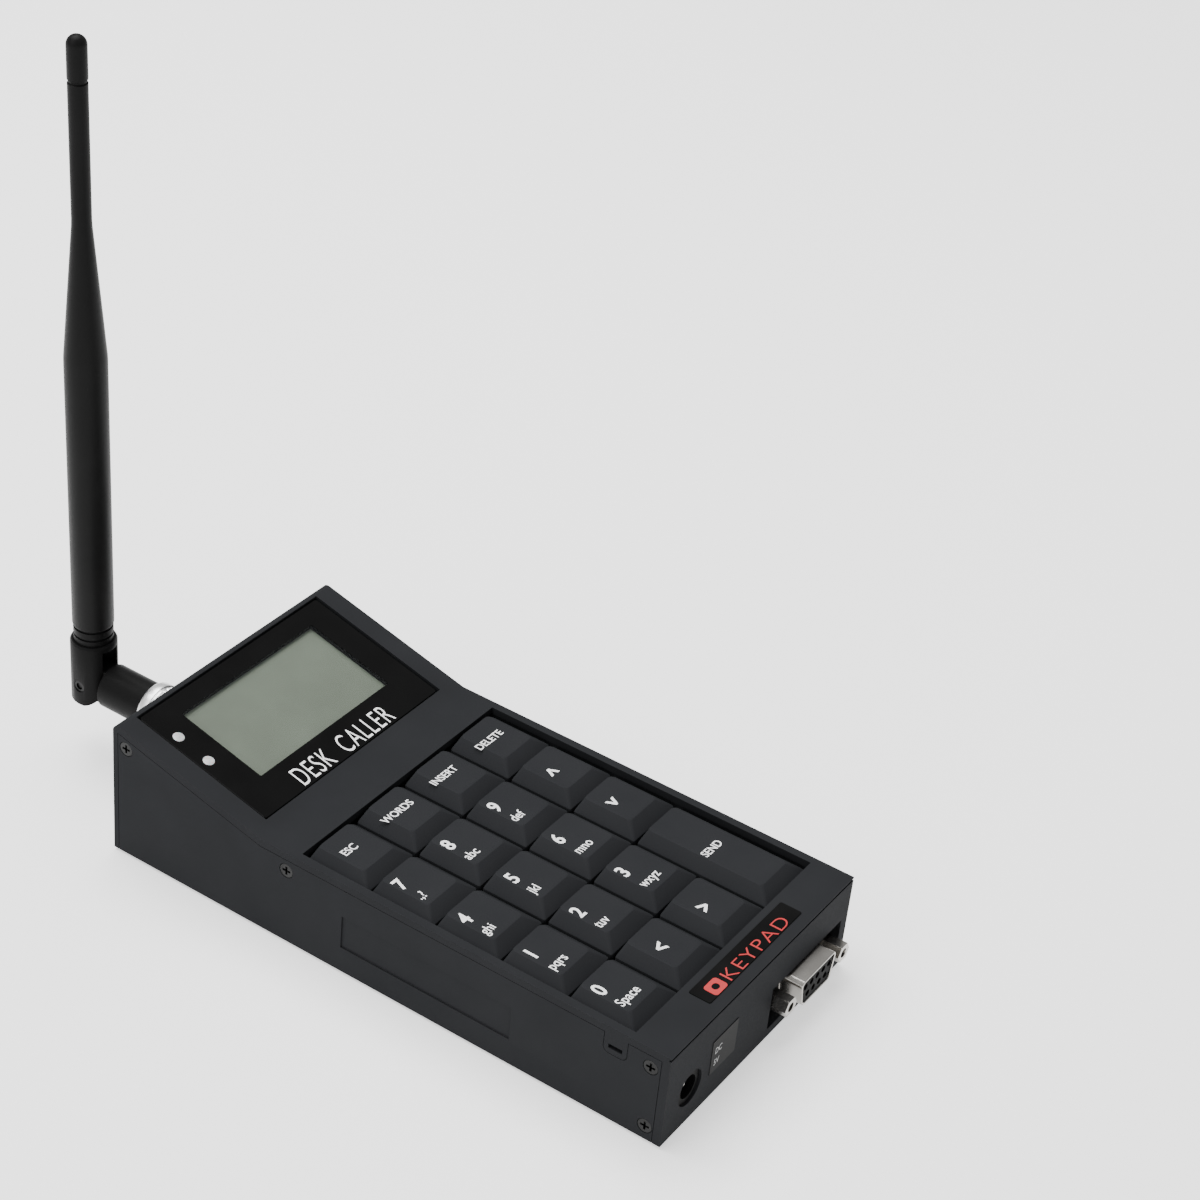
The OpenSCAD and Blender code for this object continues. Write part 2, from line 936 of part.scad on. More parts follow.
module serial_shell() {
    flange_y = front_y + flange_sunk;
    color(nickel)
    difference() {
        union() {
            block(
                [serial_x - flange_w / 2, serial_x + flange_w / 2],
                [flange_y, flange_y + flange_t],
                [serial_z - flange_h / 2, serial_z + flange_h / 2]
            );
            serial_extrude(0, front_y - serial_out, flange_y + eps);
        }
        serial_extrude(dshell_t, front_y - serial_out - 1, flange_y + flange_t + 1);
        at_serial_posts()
            along_y(1.6, flange_y - 1, flange_y + flange_t + 1);
    }
}

module serial_insulator() {
    body_y = front_y + flange_sunk + flange_t + 0.02;
    color("#17181a")
    difference() {
        union() {
            serial_extrude(dshell_t + 0.05, front_y - serial_out + 0.3, body_y + eps);
            block(
                [serial_x - dshell_w / 2 - 1, serial_x + dshell_w / 2 + 1],
                [body_y, front_y + 13],
                [main_board_z + board_t + 0.02, serial_z + 5]
            );
        }
        at_serial_contacts()
            along_y(contact_r + 0.35, front_y - serial_out - 1, front_y + 11);
    }
}

module serial_contacts() {
    color("#c9a54a")
    at_serial_contacts()
        difference() {
            along_y(contact_r + 0.33, front_y - serial_out + 1, front_y + 10.9);
            along_y(contact_r, front_y - serial_out, front_y + 4);
        }
}

// Hexagonal jack posts with a thread down the middle
module serial_posts() {
    color(nickel)
    at_serial_posts()
        difference() {
            union() {
                translate([0, front_y + flange_sunk - 0.02, 0])
                    rotate([90, 0, 0])
                        cylinder(r = post_hex_r, h = post_l, $fn = 6);
                along_y(1.55, front_y, front_y + flange_sunk + flange_t + 3.5);
            }
            along_y(post_hole_r, front_y - post_l, front_y + flange_sunk + 0.7);
        }
}

module antenna_jack() {
    color(nickel)
    at_antenna()
        difference() {
            union() {
                along_y(barrel_r, rear_y - 7, rear_y + barrel_len);
                along_y(7, rear_y + 0.02, rear_y + 1.6);
                // Bayonet lugs
                for (side = [0, 180])
                    translate([0, lug_y, 0])
                        rotate([0, side, 0])
                            cylinder(r = lug_r, h = barrel_r + lug_out_r);
            }
            along_y(barrel_bore_r, rear_y + 2, rear_y + barrel_len + 1);
            along_y(2.25, rear_y - 10, rear_y + 3);
        }
}

module antenna_jack_nut() {
    color(nickel)
    at_antenna()
        difference() {
            translate([0, inside_rear_y - 0.02, 0])
                rotate([90, 0, 0])
                    cylinder(r = 6.7, h = 2.4, $fn = 6);
            along_y(barrel_r + 0.03, rear_y - 6, rear_y);
        }
}

module antenna_jack_insulator() {
    color("#e8e6df")
    at_antenna()
        difference() {
            along_y(2.2, rear_y - 9, rear_y + 9);
            along_y(0.75, rear_y + 2, rear_y + 10);
        }
}

// Coaxial lead from the jack down to the radio module
module antenna_lead() {
    r = 1.35;
    bend = 6;
    start_y = rear_y - 9.05;
    module_top = main_board_z + board_t + 3.52;
    color(rubber)
    at_antenna() {
        along_y(r, start_y - 4, start_y);
        translate([0, start_y - 4, -bend])
            rotate([0, 0, -90])
                rotate([90, 0, 0])
                    rotate_extrude(angle = 90)
                        translate([bend, 0])
                            circle(r = r);
        translate([0, start_y - 4 - bend, module_top - jack_axis_z])
            cylinder(r = r, h = jack_axis_z - bend - module_top);
    }
}

// Bayonet coupling nut: fluted outside, with slots that the jack's lugs run in
module coupling_nut() {
    y0 = rear_y + nut_front_gap;
    y1 = rear_y + nut_rear;
    flutes = 28;
    slot_w = 2 * (lug_r + 0.2);
    slot_r = barrel_r + lug_out_r + 0.25;
    // Angle past each end of the quarter turn, so that a lug has room there
    slot_margin = 14;
    color(nickel)
    at_antenna()
        difference() {
            union() {
                along_y(nut_r - 0.8, y0, y1);
                along_y(nut_r, y0 + 3, y1 - 1);
            }
            along_y(nut_bore_r, y0 - 1, y1 - 1.1);
            along_y(plug_r + 0.26, y0, y1 + 1);
            for (i = [0:flutes - 1])
                rotate([0, i * 360 / flutes, 0])
                    translate([nut_r + 0.15, 0, 0])
                        along_y(0.45, y0 + 2, y1);
            // Lug slots: a quarter turn round, then straight out of the front
            for (side = [0, 180])
                rotate([0, side, 0]) {
                    translate([0, lug_y - slot_w / 2, 0])
                        rotate([-90, 0, 0])
                            rotate([0, 0, -slot_margin])
                                rotate_extrude(angle = 90 + 2 * slot_margin)
                                    translate([nut_bore_r - 1, 0])
                                        square([slot_r - nut_bore_r + 1, slot_w]);
                    translate([0, lug_y, 0])
                        block([nut_bore_r - 1, slot_r], [y0 - lug_y - 1, 0], [-slot_w / 2, slot_w / 2]);
                }
        }
}

// Swivelling plug body, with a flat tongue that the whip's yoke straddles
module antenna_elbow() {
    shoulder_y = pivot_y - shoulder;
    color(rubber)
    at_swivel()
        difference() {
            union() {
                along_y(plug_r, rear_y + 3.2, rear_y + nut_rear + 1);
                along_y(elbow_r, rear_y + nut_rear + 0.3, shoulder_y);
                intersection() {
                    along_y(elbow_r, shoulder_y - 1, pivot_y + 10);
                    union() {
                        block(
                            [-tongue_t / 2, tongue_t / 2],
                            [shoulder_y - 1, pivot_y],
                            [-tongue_r, tongue_r]
                        );
                        translate([0, pivot_y, 0])
                            along_x(tongue_r, -tongue_t / 2, tongue_t / 2);
                    }
                }
            }
            along_y(2.3, rear_y, rear_y + 10);
            along_y(0.6, rear_y + 9, rear_y + 14);
            translate([0, pivot_y, 0])
                along_x(pin_r + 0.05, -tongue_t, tongue_t);
        }
}

module antenna_plug_pin() {
    color("#c9a54a")
    at_swivel()
        along_y(0.6, rear_y + 3.4, rear_y + 14);
}

// Fork at the whip's foot. Its toes, towards the housing, are round so that it can fold back over
// the elbow's shoulder, and its heels are square. A seat in its top takes the whip.
module antenna_yoke() {
    color(rubber)
    at_fold()
        difference() {
            union() {
                intersection() {
                    translate([0, 0, -yoke_heel])
                        cylinder(r = yoke_r, h = 2 * yoke_heel);
                    union() {
                        along_x(yoke_toe_r, -yoke_r, yoke_r);
                        block([-yoke_r, yoke_r], [0, yoke_r], [-yoke_heel, 0]);
                    }
                }
                cylinder(r = yoke_r, h = yoke_top - yoke_chamfer);
                translate([0, 0, yoke_top - yoke_chamfer])
                    rotate_extrude()
                        polygon([
                            [0, -eps],
                            [yoke_r, -eps],
                            [yoke_r, 0],
                            [yoke_r - yoke_chamfer / 2, yoke_chamfer],
                            [0, yoke_chamfer],
                        ]);
            }
            block([-yoke_slot / 2, yoke_slot / 2], [-10, 10], [-10, yoke_slot_top]);
            translate([0, 0, whip_foot_z])
                cylinder(r = whip_foot_r + 0.1, h = 2);
            along_x(pin_r, -10, 10);
            // Counterbores for the fold pin's two heads
            along_x(pin_head_r + 0.1, -yoke_r - 1, -yoke_r + pin_head_sunk);
            along_x(pin_head_r + 0.1, yoke_r - pin_head_sunk, yoke_r + 1);
        }
}

module fold_pin() {
    seat = yoke_r - pin_head_sunk + 0.02;
    head_top = yoke_r - 0.3;
    dish_r = 1;
    dish_depth = 0.4;
    color("#2b2d30")
    at_fold()
        difference() {
            union() {
                along_x(pin_r, -seat - eps, seat + eps);
                along_x(pin_head_r, -head_top, -seat);
                along_x(pin_head_r, seat, head_top);
            }
            along_x(dish_r, -head_top - 1, -head_top + dish_depth);
            along_x(dish_r, head_top - dish_depth, head_top + 1);
        }
}

// Whip: ringed foot, straight sleeve, cone, then the thin upper rod
module antenna_whip() {
    r = whip_d / 2;
    foot = whip_foot_r;
    thin = whip_thin_d / 2;
    top = whip_l - tip_l;
    cone_start = whip_l * 0.502;
    cone_end = whip_l * 0.72;
    neck = 0.8;
    color(rubber)
    at_fold()
        translate([0, 0, whip_foot_z + 0.02])
            rotate_extrude()
                polygon([
                    [0, 0],
                    [foot, 0],
                    [foot, 2.6],
                    [foot - 0.3, 2.8],
                    [foot - 0.3, 3.1],
                    [foot, 3.3],
                    [foot, 5],
                    [foot - 0.3, 5.2],
                    [foot - 0.3, 5.6],
                    [r, 6],
                    [r, cone_start],
                    [thin, cone_end],
                    [thin, top - neck],
                    [thin - 0.35, top - neck + 0.2],
                    [thin - 0.35, top],
                    [0, top],
                ]);
}

module whip_tip() {
    r = whip_thin_d / 2 + 0.05;
    color(rubber)
    at_fold()
        translate([0, 0, whip_foot_z + whip_l - tip_l + 0.04]) {
            cylinder(r = r, h = tip_l - r);
            translate([0, 0, tip_l - r])
                sphere(r = r);
        }
}

// A bevelled slab from the skirt's outline up to the top's outline, drawn in by a wall
module cap_solid(tall, low, inset, top_cut) {
    w = cap_w - 2 * inset;
    l = tall * pitch - key_gap - 2 * inset;
    top_w = cap_w - 2 * key_side_inset - 2 * inset;
    top_l = l - key_front_inset - key_rear_inset;
    union() {
        plate(w, l, low, bevel_z - low + eps);
        hull() {
            plate(w, l, bevel_z, eps);
            translate([0, (key_front_inset - key_rear_inset) / 2, 0])
                plate(top_w, top_l, cap_top_z - top_cut - eps, eps);
        }
    }
}

// A hollow keycap with its guide stem and two snap lugs under the key frame
module keycap(col, row, tall) {
    color(plastic)
    translate([key_x(col), key_y(row, tall), 0]) {
        difference() {
            cap_solid(tall, skirt_z, 0, 0);
            cap_solid(tall, skirt_z - 1, cap_wall, cap_top_t);
        }
        translate([0, 0, stem_end_z])
            cylinder(r = stem_r, h = cap_top_z - cap_top_t / 2 - stem_end_z);
        block([-stem_r - lug_out, stem_r + lug_out], [-0.8, 0.8], [frame_z - 0.1 - lug_h, frame_z - 0.1]);
    }
}

top_shell();
base_tray();
case_screws();
rubber_feet();
display_lens();
lcd_panel();
lcd_frame();
indicator_leds();
display_board();
key_frame();
dome_mat();
key_board();
main_board();
controller_chip();
radio_module();
ribbon_cables();
board_screws();
name_plate();
power_label();
dc_jack();
dc_jack_pin();
serial_shell();
serial_insulator();
serial_contacts();
serial_posts();
antenna_jack();
antenna_jack_nut();
antenna_jack_insulator();
antenna_lead();
coupling_nut();
antenna_elbow();
antenna_plug_pin();
antenna_yoke();
fold_pin();
antenna_whip();
whip_tip();
for (k = KEYS) keycap(k[1], k[2], k[3]);
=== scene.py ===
"""Looks for the desk paging keypad: materials, bevelled shells, keycaps, legends, display, sockets and
antenna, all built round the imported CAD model. Lengths are in metres unless they are said to be in mm."""

import json
import math

import bmesh
import bpy
from mathutils import Matrix, Vector


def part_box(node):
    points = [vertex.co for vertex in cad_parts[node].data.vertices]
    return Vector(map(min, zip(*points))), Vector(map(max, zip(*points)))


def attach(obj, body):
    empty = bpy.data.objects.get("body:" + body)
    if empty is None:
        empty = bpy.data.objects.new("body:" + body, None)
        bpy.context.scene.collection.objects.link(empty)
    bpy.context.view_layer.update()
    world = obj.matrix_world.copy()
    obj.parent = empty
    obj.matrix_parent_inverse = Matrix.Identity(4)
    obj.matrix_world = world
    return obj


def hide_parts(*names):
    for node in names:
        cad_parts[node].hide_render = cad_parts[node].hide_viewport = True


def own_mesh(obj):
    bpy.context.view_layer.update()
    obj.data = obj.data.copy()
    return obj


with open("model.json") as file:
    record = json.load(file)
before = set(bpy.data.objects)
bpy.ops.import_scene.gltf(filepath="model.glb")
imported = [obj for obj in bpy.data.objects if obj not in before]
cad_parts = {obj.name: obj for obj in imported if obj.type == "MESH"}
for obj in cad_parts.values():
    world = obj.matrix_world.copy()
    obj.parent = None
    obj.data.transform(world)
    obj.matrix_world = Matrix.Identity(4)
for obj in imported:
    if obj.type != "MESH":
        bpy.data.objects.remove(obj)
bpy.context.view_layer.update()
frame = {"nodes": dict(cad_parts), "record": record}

MM = 0.001
nodes = frame["nodes"]
record = frame["record"]
slot_of = {part["node"]: part["material_slot"] for part in record["subparts"]}
body_of = {node: body for body, names in record["behaviour"]["bodies"].items() for node in names}
keys = sorted(node for node, slot in slot_of.items() if slot == "key_plastic")

# The frame's own landmarks
front_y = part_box("top_shell")[0].y
lens_low, lens_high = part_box("display_lens")
lens_middle = (lens_low + lens_high) / 2
pin_low, pin_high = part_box("fold_pin")
pivot = (pin_low + pin_high) / 2

# The slope of the display face, and the antenna's lean to the left
SLOPE = math.radians(14.1)
LEAN = math.radians(-0.75)

# Camera: where it stands, which way it looks in degrees, its roll about the line of sight, and its lens
CAMERA_X = -448.173 * MM
CAMERA_BEFORE_FRONT = 212.293 * MM
CAMERA_Z = 461.317 * MM
CAMERA_AZIMUTH = 59.1341
CAMERA_DOWN = 34.2769
CAMERA_ROLL = -6.0281
CAMERA_LENS = 84.261
CAMERA_SHIFT_X = 0.00102
CAMERA_SENSOR = 36
CAMERA_NEAR = 10 * MM


def make_camera():
    azimuth = math.radians(CAMERA_AZIMUTH)
    down = math.radians(CAMERA_DOWN)
    roll = math.radians(CAMERA_ROLL)
    ahead = Vector((
        math.sin(azimuth) * math.cos(down),
        math.cos(azimuth) * math.cos(down),
        -math.sin(down),
    ))
    level = ahead.cross(Vector((0, 0, 1))).normalized()
    below = ahead.cross(level)
    right = math.cos(roll) * level + math.sin(roll) * below
    up = right.cross(ahead)
    data = bpy.data.cameras.new("camera")
    data.sensor_width = CAMERA_SENSOR
    data.lens = CAMERA_LENS
    data.shift_x = CAMERA_SHIFT_X
    data.clip_start = CAMERA_NEAR
    camera = bpy.data.objects.new("camera", data)
    bpy.context.scene.collection.objects.link(camera)
    turn = Matrix((right, up, -ahead)).transposed().to_4x4()
    place = (CAMERA_X, front_y - CAMERA_BEFORE_FRONT, CAMERA_Z)
    camera.matrix_world = Matrix.Translation(place) @ turn
    bpy.context.scene.camera = camera


# ---------------------------------------------------------------- stage and light

WHITE = (1, 1, 1, 1)
FLOOR_SIZE = 8
FLOOR_TONE = 0.85
FLOOR_ROUGHNESS = 0.9
FLOOR_GLOW = 0.9
STUDIO_GLOW = 0.6


def area_light(name, place, aim, size, power):
    data = bpy.data.lights.new(name, "AREA")
    data.shape = "RECTANGLE"
    data.size, data.size_y = size
    data.energy = power
    light = bpy.data.objects.new(name, data)
    bpy.context.scene.collection.objects.link(light)
    light.location = place
    light.rotation_euler = (Vector(aim) - Vector(place)).to_track_quat("-Z", "Y").to_euler()


def make_stage():
    """A pale floor that glows softly, a white studio round it, and two soft boxes."""
    bpy.ops.mesh.primitive_plane_add(size=FLOOR_SIZE, location=(0, 0, 0))
    floor = bpy.context.object
    floor.name = "floor"
    _, shader = new_material("floor_paper")
    shader.inputs["Base Color"].default_value = (FLOOR_TONE, FLOOR_TONE, FLOOR_TONE, 1)
    shader.inputs["Roughness"].default_value = FLOOR_ROUGHNESS
    shader.inputs["Emission Color"].default_value = WHITE
    shader.inputs["Emission Strength"].default_value = FLOOR_GLOW
    floor.data.materials.append(materials["floor_paper"])
    world = bpy.data.worlds.new("studio")
    bpy.context.scene.world = world
    world.use_nodes = True
    background = world.node_tree.nodes["Background"]
    background.inputs["Color"].default_value = WHITE
    background.inputs["Strength"].default_value = STUDIO_GLOW
    area_light("overhead", place=(0.1, 0.4, 1.3), aim=(0, 0, 0), size=(1.2, 1.0), power=34)
    area_light("left_box", place=(-1.1, 0.3, 0.9), aim=(0, 0, 0.05), size=(0.8, 0.8), power=6)


# ---------------------------------------------------------------- materials

materials = {}


def new_material(name):
    """Starts a material, keeps it in materials, and returns its node tree and its shader."""
    material = bpy.data.materials.new(name)
    material.use_nodes = True
    materials[name] = material
    tree = material.node_tree
    return tree, tree.nodes["Principled BSDF"]


def object_coords(tree):
    return tree.nodes.new("ShaderNodeTexCoord").outputs["Object"]


def noise(tree, scale, detail=2, roughness=0.5):
    """A noise that stays with the object as it moves."""
    node = tree.nodes.new("ShaderNodeTexNoise")
    node.inputs["Scale"].default_value = scale
    node.inputs["Detail"].default_value = detail
    node.inputs["Roughness"].default_value = roughness
    tree.links.new(object_coords(tree), node.inputs["Vector"])
    return node.outputs["Fac"]


def ramp(tree, value, stops):
    """Turns a value into a colour, between two stops: each is a value and its red, green and blue."""
    node = tree.nodes.new("ShaderNodeValToRGB")
    for element, (position, colour) in zip(node.color_ramp.elements, stops):
        element.position = position
        element.color = (*colour, 1)
    tree.links.new(value, node.inputs["Fac"])
    return node.outputs["Color"]


def grey(level):
    return (level, level, level)


def two_tone(tree, shader, mask, dark, light):
    """Varies the surface's colour between two tones, by a mask."""
    tree.links.new(ramp(tree, mask, [(0.3, dark), (0.7, light)]), shader.inputs["Base Color"])


def uneven_gloss(tree, shader, mask, start, end):
    """Varies the roughness by a mask: start and end each hold a value of the mask and a roughness."""
    stops = [(position, grey(level)) for position, level in (start, end)]
    tree.links.new(ramp(tree, mask, stops), shader.inputs["Roughness"])


def bump(tree, shader, height, strength, distance):
    node = tree.nodes.new("ShaderNodeBump")
    node.inputs["Strength"].default_value = strength
    node.inputs["Distance"].default_value = distance
    tree.links.new(height, node.inputs["Height"])
    tree.links.new(node.outputs["Normal"], shader.inputs["Normal"])


def moulded(name, dark, light, rough, grain=2600, grain_depth=0.02 * MM, shine=0.02):
    """Moulded plastic or rubber: a fine grain in its surface and gloss, and slow patches of tone."""
    tree, shader = new_material(name)
    two_tone(tree, shader, noise(tree, scale=60, detail=3), dark, light)
    fine = noise(tree, grain, detail=3, roughness=0.6)
    uneven_gloss(tree, shader, fine, (0.25, rough - 0.06), (0.75, rough + 0.08))
    bump(tree, shader, fine, strength=0.5, distance=grain_depth)
    shader.inputs["Specular IOR Level"].default_value = shine


def polished(name, dark, light, rough, coat, shine=0.08):
    """Smooth glossy plastic with faint clouding."""
    tree, shader = new_material(name)
    cloud = noise(tree, scale=90, detail=4)
    two_tone(tree, shader, cloud, dark, light)
    uneven_gloss(tree, shader, cloud, (0.3, rough), (0.75, rough + 0.05))
    shader.inputs["Coat Weight"].default_value = coat
    shader.inputs["Coat Roughness"].default_value = 0.04
    shader.inputs["Specular IOR Level"].default_value = shine


def metal(name, dark, light, rough):
    """Plated metal with fine wear in its tone and gloss."""
    tree, shader = new_material(name)
    wear = noise(tree, scale=180, roughness=0.4)
    two_tone(tree, shader, wear, dark, light)
    uneven_gloss(tree, shader, wear, (0.3, rough), (0.7, rough + 0.06))
    shader.inputs["Metallic"].default_value = 1


def circuit_board(name):
    """Green solder resist over a faint grid of tracks."""
    tree, shader = new_material(name)
    bricks = tree.nodes.new("ShaderNodeTexBrick")
    bricks.inputs["Scale"].default_value = 160
    bricks.inputs["Color1"].default_value = (0.012, 0.10, 0.035, 1)
    bricks.inputs["Color2"].default_value = (0.016, 0.13, 0.045, 1)
    bricks.inputs["Mortar"].default_value = (0.03, 0.20, 0.07, 1)
    tree.links.new(object_coords(tree), bricks.inputs["Vector"])
    tree.links.new(bricks.outputs["Color"], shader.inputs["Base Color"])
    shader.inputs["Roughness"].default_value = 0.3


def lamp_resin(name):
    """Milky resin that lets a little light in."""
    tree, shader = new_material(name)
    two_tone(tree, shader, noise(tree, scale=1200), grey(0.42), grey(0.55))
    shader.inputs["Roughness"].default_value = 0.25
    shader.inputs["Subsurface Weight"].default_value = 0.2
    shader.inputs["Subsurface Scale"].default_value = 0.5 * MM


def print_ink(name, dark, light):
    """Printed ink, very slightly uneven."""
    tree, shader = new_material(name)
    two_tone(tree, shader, noise(tree, scale=3000), dark, light)
    shader.inputs["Roughness"].default_value = 0.45


def clear_plastic(name):
    """Thin clear plastic: mostly see-through, with the gloss of its surface and faint smears."""
    tree, shader = new_material(name)
    uneven_gloss(tree, shader, noise(tree, scale=120, detail=3), (0.3, 0.03), (0.8, 0.09))
    shader.inputs["Base Color"].default_value = (0.02, 0.022, 0.024, 1)
    shader.inputs["Alpha"].default_value = 0.12


# One material for each slot of the record: its darker and lighter tones, its roughness, and, for moulded
# plastic, the scale and depth of its grain
moulded("case_plastic", (0.0175, 0.0182, 0.0198), (0.0198, 0.0205, 0.0222), 0.6)
moulded("key_plastic", (0.0185, 0.0192, 0.021), (0.0208, 0.0215, 0.0234), 0.56, 3200, 0.012 * MM)
metal("black_screws", grey(0.016), grey(0.028), 0.35)
moulded("foot_rubber", grey(0.012), grey(0.018), 0.75)
polished("lens_plastic", grey(0.003), grey(0.004), 0.10, coat=0)
polished("lcd_glass", (0.17, 0.20, 0.155), (0.19, 0.225, 0.175), 0.2, coat=0.8)
metal("nickel_steel", (0.40, 0.385, 0.36), (0.48, 0.465, 0.44), 0.22)
lamp_resin("led_resin")
circuit_board("circuit_board")
moulded("frame_plastic", grey(0.06), grey(0.075), 0.55)
moulded("silicone", grey(0.5), grey(0.58), 0.5, 1200)
moulded("chip_plastic", grey(0.012), grey(0.02), 0.5)
moulded("ribbon", grey(0.4), grey(0.5), 0.45)
polished("label_film", grey(0.004), grey(0.006), 0.34, coat=0, shine=0.03)
moulded("socket_plastic", grey(0.004), grey(0.006), 0.4)
metal("contact_metal", (0.62, 0.43, 0.14), (0.75, 0.55, 0.22), 0.25)
moulded("white_insulator", grey(0.7), grey(0.8), 0.5)
moulded("lead_jacket", grey(0.012), grey(0.018), 0.5)
metal("nut_chrome", grey(0.90), grey(0.96), 0.34)
moulded("antenna_rubber", grey(0.0055), grey(0.007), 0.42, 1800, 0.01 * MM, shine=0.06)

# Finishes that only the visible model has
# Black for the socket's flange is painted shade: the real flange is nickel, and looks dark only from the
# shade in its recess
moulded("painted_shade_black", grey(0.006), grey(0.009), 0.45)
clear_plastic("clear_pane")
print_ink("white_ink", grey(0.90), grey(0.96))
print_ink("red_ink", (0.40, 0.006, 0.009), (0.50, 0.01, 0.012))
print_ink("grey_ink", grey(0.34), grey(0.42))


# ---------------------------------------------------------------- mesh helpers

# In a refined copy, points this near are one point, faces within this angle are one face, and edges
# sharper than this are broken
SAME_POINT = 0.002 * MM
SAME_FACE = math.radians(0.5)
SHARP_EDGE = math.radians(40)


def piece_from(name, mesh, body, slot, replaced=(), smooth=30, finish=None):
    """Makes a mesh a piece that rides on a body. Edges sharper than the angle smooth stay crisp, and the
    finish is the slot's own unless another is named."""
    piece = bpy.data.objects.new(name, mesh)
    bpy.context.scene.collection.objects.link(piece)
    mesh.materials.append(materials[finish or slot])
    mesh.shade_smooth()
    mesh.set_sharp_from_angle(angle=math.radians(smooth))
    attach(piece, body)
    if replaced:
        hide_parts(*replaced)
    return piece


def mesh_from(name, bm):
    bmesh.ops.recalc_face_normals(bm, faces=bm.faces)
    mesh = bpy.data.meshes.new(name)
    bm.to_mesh(mesh)
    bm.free()
    return mesh


def refined(node, width, segments=2):
    """A copy of a CAD node with its flat faces joined up and its edges broken, standing for the node."""
    bm = bmesh.new()
    bm.from_mesh(nodes[node].data)
    bmesh.ops.remove_doubles(bm, verts=bm.verts, dist=SAME_POINT)
    bmesh.ops.dissolve_limit(
        bm, angle_limit=SAME_FACE, verts=bm.verts, edges=bm.edges, use_dissolve_boundaries=False
    )
    mesh = mesh_from(node + ".finish", bm)
    piece = piece_from(node + ".finish", mesh, body_of[node], slot_of[node], [node])
    edges = piece.modifiers.new("edges", "BEVEL")
    edges.width = width
    edges.segments = segments
    edges.limit_method = "ANGLE"
    edges.angle_limit = SHARP_EDGE
    edges.use_clamp_overlap = True
    edges.harden_normals = True


def loft(bm, rings, closed=False):
    """Joins rings of points into a tube, capped at both ends, or closed on itself."""
    loops = [[bm.verts.new(point) for point in ring] for ring in rings]
    pairs = list(zip(loops, loops[1:]))
    if closed:
        pairs.append((loops[-1], loops[0]))
    for low, high in pairs:
        for i in range(len(low)):
            j = (i + 1) % len(low)
            bm.faces.new((low[i], low[j], high[j], high[i]))
    if not closed:
        bm.faces.new(loops[0][::-1])
        bm.faces.new(loops[-1])


def circle(radius, z, count=96):
    steps = [i * math.tau / count for i in range(count)]
    return [Vector((radius * math.cos(a), radius * math.sin(a), z)) for a in steps]


def span(middle, half):
    return (middle - half, middle + half)


def rounded_rect(x, y, radius, z, corner_steps=5):
    """A rounded rectangle at height z, between the two limits in x and the two in y."""
    points = []
    corners = ((x[1], y[1], -1, -1), (x[0], y[1], 1, -1), (x[0], y[0], 1, 1), (x[1], y[0], -1, 1))
    for quarter, (corner_x, corner_y, in_x, in_y) in enumerate(corners):
        for step in range(corner_steps + 1):
            angle = (quarter + step / corner_steps) * math.pi / 2
            points.append(Vector((
                corner_x + radius * (in_x + math.cos(angle)),
                corner_y + radius * (in_y + math.sin(angle)),
                z,
            )))
    return points


def turned(name, profile, place, body, slot, replaced=()):
    """A solid of revolution: profile is [radius, height] in mm, and place puts its axis in the frame."""
    bm = bmesh.new()
    loft(bm, [circle(r * MM, z * MM) for r, z in profile])
    bm.transform(place)
    piece_from(name, mesh_from(name, bm), body, slot, replaced)


def arc(centre_r, centre_z, radius, start, end, steps):
    """Points [radius, height] on an arc of a turned profile, by angles in degrees."""
    angles = [math.radians(start + (end - start) * i / steps) for i in range(steps + 1)]
    return [(centre_r + radius * math.cos(a), centre_z + radius * math.sin(a)) for a in angles]


# ---------------------------------------------------------------- lettering

INK_THICK = 0.02 * MM

# The built-in typeface at size 1: the height of its capitals, and the thickness given to each side of it
CAP_RATIO = 0.729
FONT_DEPTH = 0.01


def letters(text, cap_height, stretch=1.0, bold=0.0, spacing=1.0, align="CENTER", width=None):
    """A thin closed mesh of a line of text, with its capitals' middle at y = 0. A width, where one is
    given, sets the stretch."""
    data = bpy.data.curves.new("line", "FONT")
    data.body = text
    data.size = 1
    data.extrude = FONT_DEPTH
    data.offset = bold
    data.space_character = spacing
    data.align_x = align
    holder = bpy.data.objects.new("line", data)
    bpy.context.scene.collection.objects.link(holder)
    bpy.context.view_layer.update()
    shaped = holder.evaluated_get(bpy.context.evaluated_depsgraph_get())
    mesh = bpy.data.meshes.new_from_object(shaped)
    bpy.data.objects.remove(holder)
    bm = bmesh.new()
    bm.from_mesh(mesh)
    bpy.data.meshes.remove(mesh)
    scale = cap_height / CAP_RATIO
    if width:
        across = [vert.co.x for vert in bm.verts]
        stretch = width / scale / (max(across) - min(across))
    bm.transform(Matrix.Diagonal((scale * stretch, scale, INK_THICK / (2 * FONT_DEPTH), 1)))
    bm.transform(Matrix.Translation((0, -cap_height / 2, 0)))
    bmesh.ops.remove_doubles(bm, verts=bm.verts, dist=0.0005 * MM)
    return bm


def print_line(name, bm, place, ink, slot):
    """Sets a line of lettering down on the housing, in ink."""
    bm.transform(place)
    piece_from(name, mesh_from(name, bm), "housing", slot, finish=ink)


# ---------------------------------------------------------------- keys

CAP_BEVEL = 2.7 * MM
CAP_SKIRT = 3.0 * MM
SIDE_INSET = 3.2 * MM
FRONT_INSET = 3.6 * MM
REAR_INSET = 0.7 * MM
CAP_WALL = 1.3 * MM
CAP_TOP = 1.6 * MM
CAP_DISH = 0.22 * MM
STEM_R = 3.0 * MM
LUG_LOW = 1.35 * MM
LUG_HIGH = 2.25 * MM
LUG_OUT = 3.7 * MM
LUG_HALF_WIDTH = 0.8 * MM
LUG_CORNER = 0.2 * MM

